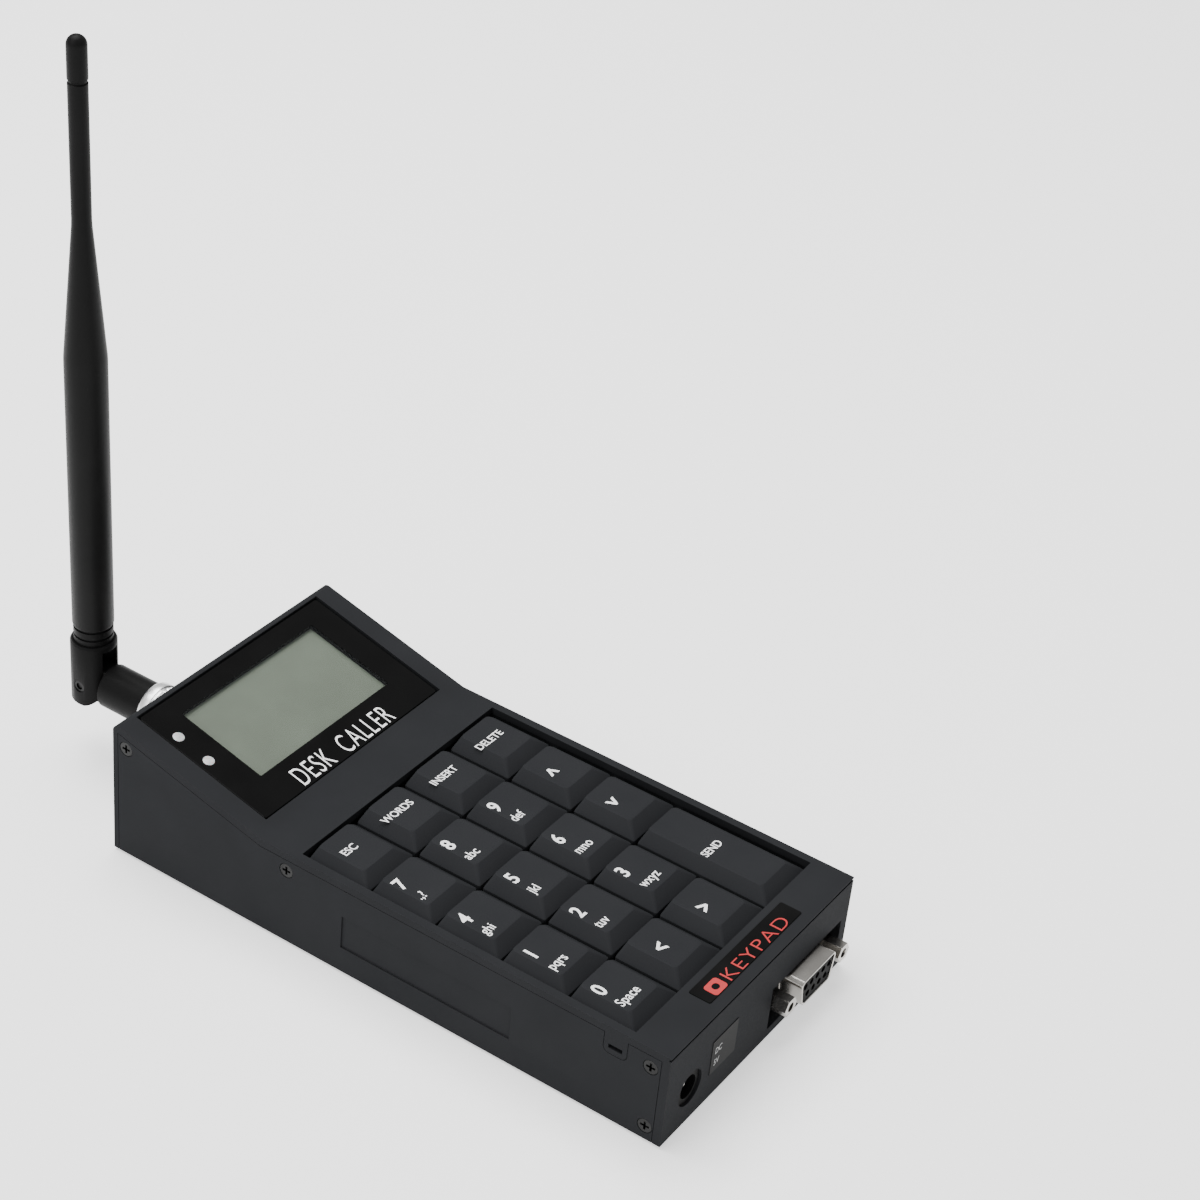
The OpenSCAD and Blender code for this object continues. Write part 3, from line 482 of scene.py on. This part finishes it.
# Rings of the cap: share of the way in to the top's outline, height above the foot of the bevel, corner
CAP_INSIDE = [
    (1, CAP_BEVEL - CAP_TOP, 0.8 * MM),
    (0, 0, 0.4 * MM),
    (0, -CAP_SKIRT, 0.4 * MM),
]
CAP_OUTSIDE = [
    (0, -CAP_SKIRT, 0.6 * MM),
    (0, -0.30 * MM, 0.6 * MM),
    (0.02, -0.05 * MM, 0.65 * MM),
    (0.09, 0.22 * MM, 0.7 * MM),
    (0.93, CAP_BEVEL * 0.92, 1.2 * MM),
    (0.99, CAP_BEVEL - 0.05 * MM, 1.3 * MM),
    (1.05, CAP_BEVEL, 1.3 * MM),
]
DISH_SHARES = (0.85, 0.65, 0.4, 0.15)

# Styles of lettering: height of the capitals, stretch, boldness, how the line is set, and its turn
STYLES = {
    "word": (2.3 * MM, 0.96, 0.012, "CENTER", 0),
    "digit": (4.0 * MM, 0.95, 0.025, "CENTER", 0),
    "small": (2.8 * MM, 0.88, 0.008, "LEFT", 0),
    "arrow": (4.3 * MM, 0.85, 0.03, "CENTER", 0),
    "turned_arrow": (4.3 * MM, 0.85, 0.03, "CENTER", math.radians(-90)),
}

# Legends on the tops: text, where its middle or its left end stands from the key's middle, to the right
# and to the rear in mm, and style
LEGENDS = {
    "key_esc": [("ESC", -1.8, 2.3, "word")],
    "key_words": [("WORDS", -2.0, 2.3, "word")],
    "key_insert": [("INSERT", -2.3, 2.2, "word")],
    "key_delete": [("DELETE", -2.2, 2.2, "word")],
    "key_send": [("SEND", -1.7, 2.0, "word")],
    "key_left": [("<", -1.8, 1.5, "arrow")],
    "key_right": [(">", -2.3, 1.3, "arrow")],
    "key_up": [("<", -2.3, 1.6, "turned_arrow")],
    "key_down": [(">", -2.3, 2.0, "turned_arrow")],
}
PHONE_LETTERS = {
    "0": "Space", "1": "pqrs", "2": "tuv", "3": "wxyz", "4": "ghi",
    "5": "jkl", "6": "mno", "7": ".,?", "8": "abc", "9": "def",
}
for digit, small in PHONE_LETTERS.items():
    LEGENDS["key_" + digit] = [(digit, -4.2, 4.3, "digit"), (small, -5.5, -1.9, "small")]


def cap_ring(low, high, share, inset, z, corner):
    """The cap's outline at a share of the way in to the top's outline, moved in by the inset."""
    x = (low.x + SIDE_INSET * share + inset, high.x - SIDE_INSET * share - inset)
    y = (low.y + FRONT_INSET * share + inset, high.y - REAR_INSET * share - inset)
    return rounded_rect(x, y, corner, z)


def keycap(name):
    """A hollow cap with rounded edges and a dished top, on its stem with two snap lugs."""
    low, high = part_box(name)
    centre = (low + high) / 2
    top = high.z
    bend = top - CAP_BEVEL
    rings = [cap_ring(low, high, share, CAP_WALL, bend + up, corner) for share, up, corner in CAP_INSIDE]
    rings += [cap_ring(low, high, share, 0, bend + up, corner) for share, up, corner in CAP_OUTSIDE]
    rim = rings[-1]
    middle = sum(rim, Vector()) / len(rim)
    for share in DISH_SHARES:
        level = top - CAP_DISH * (1 - share * share)
        rings.append([Vector((*(middle + (point - middle) * share).xy, level)) for point in rim])
    bm = bmesh.new()
    loft(bm, rings)
    to_centre = Matrix.Translation((centre.x, centre.y, 0))
    loft(bm, [[to_centre @ point for point in circle(STEM_R, z, 32)] for z in (low.z, top - CAP_TOP / 2)])
    lug_x = span(centre.x, LUG_OUT)
    lug_y = span(centre.y, LUG_HALF_WIDTH)
    loft(bm, [rounded_rect(lug_x, lug_y, LUG_CORNER, low.z + up, 2) for up in (LUG_LOW, LUG_HIGH)])
    piece_from(name + ".cap", mesh_from(name, bm), name, "key_plastic", [name], 20)
    for number, legend in enumerate(LEGENDS[name]):
        print_legend(f"{name}.legend_{number}", name, legend, rim, middle, centre, top)


def print_legend(name, key, legend, rim, middle, centre, top):
    """Prints one line on a cap, following its dish."""
    text, right, rear, style = legend
    height, stretch, bold, align, turn = STYLES[style]
    bm = letters(text, height, stretch, bold, align=align)
    bm.transform(Matrix.Rotation(turn, 4, "Z"))
    bm.transform(Matrix.Translation((centre.x + right * MM, centre.y + rear * MM, 0)))
    half_x = max(point.x for point in rim) - middle.x
    half_y = max(point.y for point in rim) - middle.y
    for vert in bm.verts:
        share = max(abs(vert.co.x - middle.x) / half_x, abs(vert.co.y - middle.y) / half_y)
        vert.co.z += top + INK_THICK - CAP_DISH * (1 - min(share, 1) ** 2)
    piece_from(name, mesh_from(name, bm), key, "key_plastic", finish="white_ink")


# ---------------------------------------------------------------- silicone domes

SHEET_THICK = 0.8 * MM
SHEET_CORNER = 1.5 * MM

# The dome's outside as [radius, height] in mm, and its top. The hollow is a skin's width inside that and
# rises to a share of its height, and the foot starts within the sheet
DOME_OUTSIDE = [(5.5, 0.0), (5.3, 0.3), (4.6, 1.6), (3.5, 3.6), (3.2, 4.3)]
DOME_TOP = [(2.9, 4.52), (0.2, 4.52), (0.2, 3.2)]
DOME_SKIN = 0.6
DOME_HOLLOW = 0.72
DOME_FOOT = SHEET_THICK * 0.9


def dome_mat():
    """Rounded silicone sheet with a hollow dome under each key, built at rest on the housing."""
    low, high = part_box("dome_mat")
    x = (low.x, high.x)
    y = (low.y, high.y)
    sheet = bmesh.new()
    loft(sheet, [rounded_rect(x, y, SHEET_CORNER, low.z + up) for up in (0, SHEET_THICK)])
    piece_from("dome_mat.sheet", mesh_from("sheet", sheet), "housing", "silicone", ["dome_mat"])
    inside = [(r - DOME_SKIN, z * DOME_HOLLOW) for r, z in reversed(DOME_OUTSIDE)]
    profile = DOME_OUTSIDE + DOME_TOP + inside
    foot = low.z + DOME_FOOT
    for key in keys:
        key_low, key_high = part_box(key)
        middle = (key_low + key_high) / 2
        anchor = (middle.x, middle.y, foot)
        dome = bmesh.new()
        loft(dome, [circle(r * MM, z * MM, 32) for r, z in profile], closed=True)
        dome.transform(Matrix.Translation(anchor))
        mesh = mesh_from("dome", dome)
        piece = piece_from(f"dome_mat.{key}.dome", mesh, "housing", "silicone", ["dome_mat"], 40)
        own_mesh(piece)


# ---------------------------------------------------------------- display and plates

on_slope = Matrix.Translation(lens_middle) @ Matrix.Rotation(SLOPE, 4, "X")
LENS_HALF = (34.35 * MM, 21.0 * MM)
LENS_THICK = 1.4 * MM
LENS_CORNER = 0.8 * MM
LENS_TOP_CORNER = 0.7 * MM
LENS_EDGE = 0.15 * MM
WINDOW_MIDDLE = (0.6 * MM, 2.15 * MM)
WINDOW_HALF = (25.4 * MM, 13.2 * MM)
WINDOW_CORNER = 0.3 * MM
PANE_FOOT = 0.3 * MM
PANE_TOP = 0.02 * MM

# The lamps: to the left of the lens's middle, and above it along the slope
LAMP_X = -31.2 * MM
LAMP_UP = (0.55 * MM, 10.55 * MM)

# The line on the lens: height of its capitals, width, and its middle on the slope
LENS_LINE_CAPS = 6.2 * MM
LENS_LINE_WIDE = 36.5 * MM
LENS_LINE_X = -0.4 * MM
LENS_LINE_UP = -17.2 * MM


def display_lens():
    """Black lens with polished edges round a window opening, and a clear pane in the window."""
    half = LENS_THICK / 2
    x = span(0, LENS_HALF[0])
    y = span(0, LENS_HALF[1])
    top_x = span(0, LENS_HALF[0] - LENS_EDGE)
    top_y = span(0, LENS_HALF[1] - LENS_EDGE)
    window_x = span(WINDOW_MIDDLE[0], WINDOW_HALF[0])
    window_y = span(WINDOW_MIDDLE[1], WINDOW_HALF[1])
    slab = bmesh.new()
    loft(slab, [
        rounded_rect(window_x, window_y, WINDOW_CORNER, -half),
        rounded_rect(x, y, LENS_CORNER, -half),
        rounded_rect(x, y, LENS_CORNER, half - LENS_EDGE),
        rounded_rect(top_x, top_y, LENS_TOP_CORNER, half),
        rounded_rect(window_x, window_y, WINDOW_CORNER, half),
    ], closed=True)
    slab.transform(on_slope)
    mesh = mesh_from("lens", slab)
    piece_from("display_lens.slab", mesh, "housing", "lens_plastic", ["display_lens"])
    pane = bmesh.new()
    pane_heights = (half - PANE_FOOT, half - PANE_TOP)
    loft(pane, [rounded_rect(window_x, window_y, WINDOW_CORNER, z) for z in pane_heights])
    pane.transform(on_slope)
    mesh = mesh_from("pane", pane)
    piece_from("display_lens.pane", mesh, "housing", "lens_plastic", ["display_lens"], finish="clear_pane")


def lamp_faces():
    """A low milky dome over each lamp, standing just out of the lens."""
    profile = [(1.5, -0.3), (1.5, 0.0), (1.42, 0.06), (1.2, 0.1), (0.5, 0.13), (0.1, 0.13)]
    for number, up in enumerate(LAMP_UP):
        place = on_slope @ Matrix.Translation((LAMP_X, up, LENS_THICK / 2))
        turned(f"indicator_led.face_{number}", profile, place, "housing", "led_resin")


def lens_lettering():
    """A generic line along the foot of the lens."""
    line = letters("DESK  CALLER", LENS_LINE_CAPS, bold=-0.008, spacing=1.12, width=LENS_LINE_WIDE)
    place = on_slope @ Matrix.Translation((LENS_LINE_X, LENS_LINE_UP, LENS_THICK / 2 + INK_THICK))
    print_line("display_lens.lettering", line, place, "white_ink", "lens_plastic")


PLATE_EDGE = 0.08 * MM
PLATE_CORNER = 0.5 * MM
PLATE_TOP_CORNER = 0.45 * MM
PLATE_LINE_FORWARD = 0.9 * MM
PLATE_WORD_CAPS = 3.8 * MM
PLATE_WORD_WIDE = 26.6 * MM
PLATE_WORD_RIGHT = 2.3 * MM
BADGE_LEFT = 14.9 * MM
BADGE_HALF = (2.6 * MM, 2.0 * MM)
BADGE_HOLE_HALF = (1.1 * MM, 0.9 * MM)
BADGE_CORNER = 0.9 * MM
BADGE_HOLE_CORNER = 0.89 * MM


def name_plate():
    """Thin film on the deck with a generic word and, left of it, a generic badge with a hole in it."""
    low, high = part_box("name_plate")
    x = (low.x, high.x)
    y = (low.y, high.y)
    top_x = (low.x + PLATE_EDGE, high.x - PLATE_EDGE)
    top_y = (low.y + PLATE_EDGE, high.y - PLATE_EDGE)
    film = bmesh.new()
    loft(film, [
        rounded_rect(x, y, PLATE_CORNER, low.z),
        rounded_rect(x, y, PLATE_CORNER, high.z - PLATE_EDGE),
        rounded_rect(top_x, top_y, PLATE_TOP_CORNER, high.z),
    ])
    piece_from("name_plate.film", mesh_from("plate", film), "housing", "label_film", ["name_plate"])
    middle = (low + high) / 2 - Vector((0, PLATE_LINE_FORWARD, 0))
    word = letters("KEYPAD", PLATE_WORD_CAPS, bold=-0.012, spacing=1.1, width=PLATE_WORD_WIDE)
    place = Matrix.Translation((middle.x + PLATE_WORD_RIGHT, middle.y, high.z + INK_THICK))
    print_line("name_plate.word", word, place, "red_ink", "label_film")
    badge_x = span(middle.x - BADGE_LEFT, BADGE_HALF[0])
    badge_y = span(middle.y, BADGE_HALF[1])
    hole_x = span(middle.x - BADGE_LEFT, BADGE_HOLE_HALF[0])
    hole_y = span(middle.y, BADGE_HOLE_HALF[1])
    badge_top = high.z + 2 * INK_THICK
    badge = bmesh.new()
    loft(badge, [
        rounded_rect(hole_x, hole_y, BADGE_HOLE_CORNER, high.z),
        rounded_rect(badge_x, badge_y, BADGE_CORNER, high.z),
        rounded_rect(badge_x, badge_y, BADGE_CORNER, badge_top),
        rounded_rect(hole_x, hole_y, BADGE_HOLE_CORNER, badge_top),
    ], closed=True)
    piece_from("name_plate.badge", mesh_from("badge", badge), "housing", "label_film", finish="red_ink")


LABEL_CAPS = 1.9 * MM
LABEL_MARGIN = 1.3 * MM
LABEL_LINES = (("DC", 6.6 * MM), ("5V", 3.0 * MM))


def label_lettering():
    """The two lines on the power label, which stands upright on the front wall."""
    low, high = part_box("power_label")
    upright = Matrix.Rotation(math.pi / 2, 4, "X")
    for number, (text, up) in enumerate(LABEL_LINES):
        line = letters(text, LABEL_CAPS, stretch=0.8, bold=-0.004, align="LEFT")
        place = Matrix.Translation((low.x + LABEL_MARGIN, low.y - INK_THICK, low.z + up)) @ upright
        print_line(f"power_label.line_{number}", line, place, "grey_ink", "label_film")


# ---------------------------------------------------------------- serial socket

# Half sizes of the socket's shell and its flange. The shell narrows by D_NARROWS at each side of its foot,
# and its corner shrinks by a share of the inset
D_HALF = (8.2 * MM, 4.1 * MM)
D_NARROWS = 1.446 * MM
D_CORNER = 1.6 * MM
D_CORNER_SHARE = 0.6
D_WALL = 0.5 * MM
D_LIP = 0.14 * MM
FLANGE_HALF = (15.4 * MM, 6.25 * MM)
FLANGE_THICK = 0.8 * MM
FLANGE_CORNER = 1.2 * MM
FLANGE_EDGE = 0.12 * MM


def d_ring(middle, inset, y):
    """The outline of the socket's shell at a depth: a rounded rectangle, narrower towards its foot."""
    half_x, half_z = D_HALF[0] - inset, D_HALF[1] - inset
    corner = D_CORNER - D_CORNER_SHARE * inset
    ring = []
    for point in rounded_rect(span(0, half_x), span(0, half_z), corner, 0, 8):
        share = (1 - point.y / half_z) / 2
        x = point.x * (1 - D_NARROWS * share / half_x)
        ring.append(Vector((middle.x + x, y, middle.z + point.y)))
    return ring


def flange_ring(middle, inset, y):
    """The outline of the flange at a depth."""
    x = span(0, FLANGE_HALF[0] - inset)
    z = span(0, FLANGE_HALF[1] - inset)
    flat = rounded_rect(x, z, FLANGE_CORNER - inset, 0, 8)
    return [Vector((middle.x + point.x, y, middle.z + point.y)) for point in flat]


def serial_shell():
    """Drawn nickel shell with a rolled lip and a flared foot, on a flange painted black as painted shade.
    """
    low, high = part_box("serial_shell")
    middle = (low + high) / 2
    flange = high.y - FLANGE_THICK
    shell = bmesh.new()
    loft(shell, [
        d_ring(middle, D_WALL, flange),
        d_ring(middle, D_WALL, low.y + D_LIP),
        d_ring(middle, D_WALL - D_LIP, low.y),
        d_ring(middle, D_LIP, low.y),
        d_ring(middle, 0.04 * MM, low.y + 0.05 * MM),
        d_ring(middle, 0, low.y + D_LIP),
        d_ring(middle, 0, flange - 0.4 * MM),
        d_ring(middle, -0.12 * MM, flange - 0.12 * MM),
        d_ring(middle, -0.4 * MM, flange),
    ], closed=True)
    mesh = mesh_from("shell", shell)
    piece_from("serial_shell.drawn", mesh, "housing", "nickel_steel", ["serial_shell"], 40)
    plate = bmesh.new()
    loft(plate, [
        d_ring(middle, D_WALL, high.y),
        d_ring(middle, D_WALL, flange),
        flange_ring(middle, FLANGE_EDGE, flange),
        flange_ring(middle, 0, flange + FLANGE_EDGE),
        flange_ring(middle, 0, high.y),
    ], closed=True)
    mesh = mesh_from("flange", plate)
    # The flange's black finish is painted shade, standing for a nickel flange sunk dark in the recess
    piece_from(
        "serial_shell.flange", mesh, "housing", "black_screws", ["serial_shell"], finish="painted_shade_black"
    )


# ---------------------------------------------------------------- antenna

at_fold = Matrix.Translation(pivot) @ Matrix.Rotation(LEAN, 4, "Y")

# The whip in mm: its foot stands WHIP_FOOT above the pivot, its radii end in R, and the heights that end
# in UP say where each stretch starts above the foot, with the rod's end and the tip's start last
WHIP_FOOT = 11.92
WHIP_CORE_R = 0.5
FOOT_R = 5.175
GROOVE_R = 4.8
SLEEVE_R = 5.375
ROD_R = 2.45
ROD_END_R = 2.1
GROOVES_UP = (2.55, 4.95)
SLEEVE_UP = 6.2
CONE_UP = 84.6
ROD_UP = 121.2
ROD_END_UP = 156.45
TIP_UP = 156.52
TIP_LONG = 10.95
TIP_R = 2.48


def antenna_whip():
    """Whip with its ringed foot, sleeve, cone and rod, and its separate rounded tip."""
    profile = [(WHIP_CORE_R, 0), (FOOT_R - 0.2, 0), (FOOT_R, 0.2)]
    for up in GROOVES_UP:
        profile += [(FOOT_R, up), (GROOVE_R, up + 0.12), (GROOVE_R, up + 0.5), (FOOT_R, up + 0.65)]
    profile += [(FOOT_R, SLEEVE_UP - 0.45), (SLEEVE_R - 0.08, SLEEVE_UP - 0.25), (SLEEVE_R, SLEEVE_UP)]
    profile += [(SLEEVE_R, CONE_UP - 1.4), (SLEEVE_R - 0.05, CONE_UP)]
    profile += [(ROD_R + 0.06, ROD_UP - 1.8), (ROD_R, ROD_UP), (ROD_R, ROD_END_UP - 0.75)]
    profile += [(ROD_END_R, ROD_END_UP - 0.5), (ROD_END_R, ROD_END_UP), (WHIP_CORE_R, ROD_END_UP)]
    rod = [(r, WHIP_FOOT + up) for r, up in profile]
    turned("antenna_whip.rod", rod, at_fold, "antenna_arm", "antenna_rubber", ["antenna_whip"])
    foot = WHIP_FOOT + TIP_UP
    tip = [(WHIP_CORE_R, foot), (2.3, foot), (2.45, foot + 0.15), (2.49, foot + 0.5)]
    tip += arc(0, foot + TIP_LONG - TIP_R, TIP_R, 0, 86, 10)
    turned("whip_tip.cap", tip, at_fold, "antenna_arm", "antenna_rubber", ["whip_tip"])


# The nut's radii in mm
NUT_SLEEVE_R = 6.3
NUT_GROOVE_R = 6.5
NUT_GRIP_R = 7.1
NUT_BORE_R = 5.0
NUT_COLLAR_R = 4.25
NUT_COLLAR = 1.1
NUT_RIBS = 28
RIB_STEPS = 6


def nut_ring(radius, y, rib_depth):
    """A circle about the nut's axis, with as many valleys cut into it as the nut has ribs."""
    points = []
    for i in range(NUT_RIBS * RIB_STEPS):
        angle = i * math.tau / (NUT_RIBS * RIB_STEPS)
        valley = (1 - math.cos(angle * NUT_RIBS)) / 2
        r = radius - rib_depth * valley ** 2
        points.append(Vector((r * math.cos(angle), y, r * math.sin(angle))))
    return points


def coupling_nut():
    """Bayonet nut: plain sleeve, ribbed grip, groove, smooth band, and a collar inside its rear end."""
    low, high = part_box("coupling_nut")
    axis = (low + high) / 2
    rear = (high.y - low.y) / MM
    sleeve = [(NUT_SLEEVE_R - 0.3, 0.0, 0), (NUT_SLEEVE_R, 0.3, 0), (NUT_SLEEVE_R, 2.6, 0)]
    grip = [
        (NUT_GRIP_R - 0.35, 2.9, 0), (NUT_GRIP_R - 0.1, 3.1, 0.2), (NUT_GRIP_R, 3.4, 0.5),
        (NUT_GRIP_R, rear - 4.4, 0.5), (NUT_GRIP_R - 0.1, rear - 4.0, 0.1),
    ]
    groove = [(NUT_GROOVE_R, rear - 3.7, 0), (NUT_GROOVE_R, rear - 3.3, 0)]
    band = [
        (NUT_GRIP_R - 0.05, rear - 3.0, 0), (NUT_GRIP_R, rear - 2.8, 0), (NUT_GRIP_R, rear - 1.0, 0),
        (NUT_GRIP_R - 0.2, rear - 0.5, 0), (NUT_SLEEVE_R, rear, 0),
    ]
    inside = [
        (NUT_COLLAR_R, rear, 0), (NUT_COLLAR_R, rear - NUT_COLLAR, 0),
        (NUT_BORE_R, rear - NUT_COLLAR, 0), (NUT_BORE_R, 0.0, 0),
    ]
    profile = sleeve + grip + groove + band + inside
    bm = bmesh.new()
    loft(bm, [nut_ring(r * MM, y * MM, depth * MM) for r, y, depth in profile], closed=True)
    bm.transform(Matrix.Translation((axis.x, low.y, axis.z)))
    mesh = mesh_from("nut", bm)
    piece_from("coupling_nut.knurled", mesh, "coupling_nut", "nut_chrome", ["coupling_nut"], 40)


# ---------------------------------------------------------------- the scene

make_camera()
make_stage()

for name, node in nodes.items():
    node.data.materials.clear()
    node.data.materials.append(materials[slot_of[name]])

refined("top_shell", 0.3 * MM, segments=3)
refined("base_tray", 0.25 * MM)
serial_shell()
for name in ("rubber_feet", "serial_posts", "serial_insulator", "dc_jack", "case_screws"):
    refined(name, 0.12 * MM)
for name in ("antenna_elbow", "antenna_yoke"):
    refined(name, 0.3 * MM, segments=3)
for name in keys:
    keycap(name)
dome_mat()
display_lens()
lamp_faces()
lens_lettering()
name_plate()
label_lettering()
antenna_whip()
coupling_nut()
